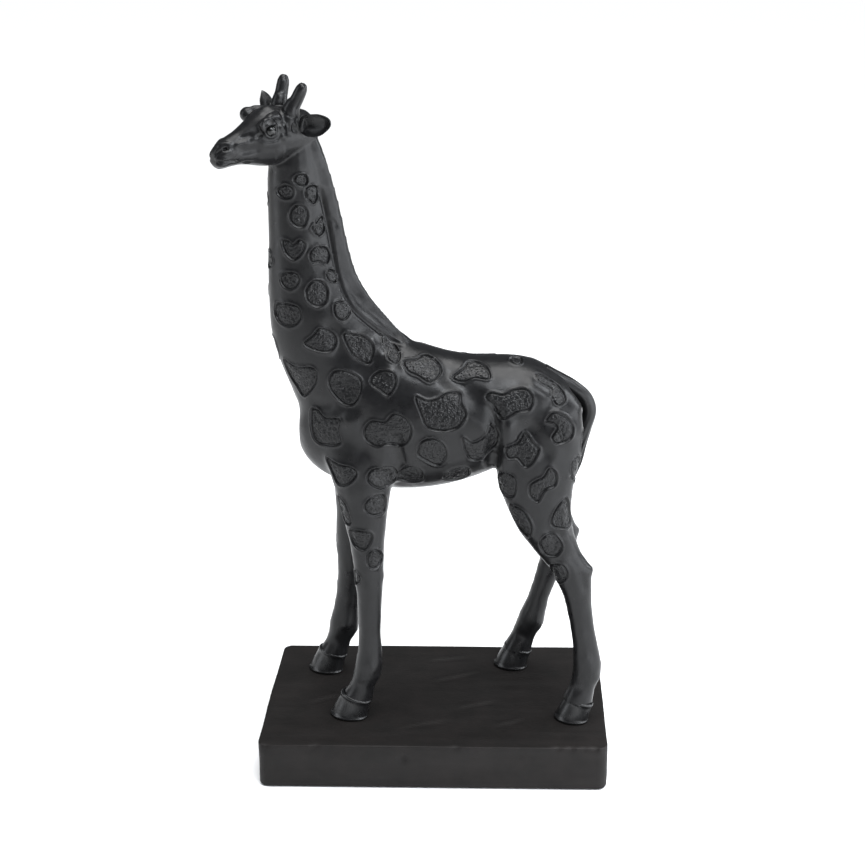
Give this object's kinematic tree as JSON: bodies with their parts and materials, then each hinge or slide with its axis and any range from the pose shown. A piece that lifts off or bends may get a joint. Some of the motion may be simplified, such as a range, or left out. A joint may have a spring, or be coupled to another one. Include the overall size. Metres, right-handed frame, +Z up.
{
  "type": "giraffe statue",
  "caption": "Standing giraffe statuette in satin black with incised spots, its head turned to its left, on a rectangular plinth with a felt underside.",
  "frame": {"origin": "on the surface that the felt stands on, under the middle of the plinth", "axes": "+Z up; the giraffe faces -X along the plinth's long side; -Y is its left side"},
  "size_m": [0.1929, 0.108, 0.3553],
  "materials": {
    "cast_resin": "satin black paint over cast stone-filled resin",
    "plinth_resin": "matt black paint over cast stone-filled resin",
    "hoof_enamel": "semi-gloss black over cast resin",
    "eye_enamel": "gloss black",
    "steel_rod": "plain drawn rod",
    "felt": "black self-adhesive felt"
  },
  "bodies": {
    "root": {"trunk": "cast_resin", "neck": "cast_resin", "head": "cast_resin", "mane": "cast_resin", "tail": "cast_resin", "left_ear": "cast_resin", "right_ear": "cast_resin", "left_horn": "cast_resin", "right_horn": "cast_resin", "left_foreleg": "cast_resin", "right_foreleg": "cast_resin", "left_hindleg": "cast_resin", "right_hindleg": "cast_resin", "left_forehoof": "hoof_enamel", "right_forehoof": "hoof_enamel", "left_hindhoof": "hoof_enamel", "right_hindhoof": "hoof_enamel", "left_eye": "eye_enamel", "right_eye": "eye_enamel", "plinth": "plinth_resin", "left_foreleg_rod": "steel_rod", "right_foreleg_rod": "steel_rod", "left_hindleg_rod": "steel_rod", "right_hindleg_rod": "steel_rod", "neck_rod": "steel_rod", "base_felt": "felt"}
  },
  "joints": []
}
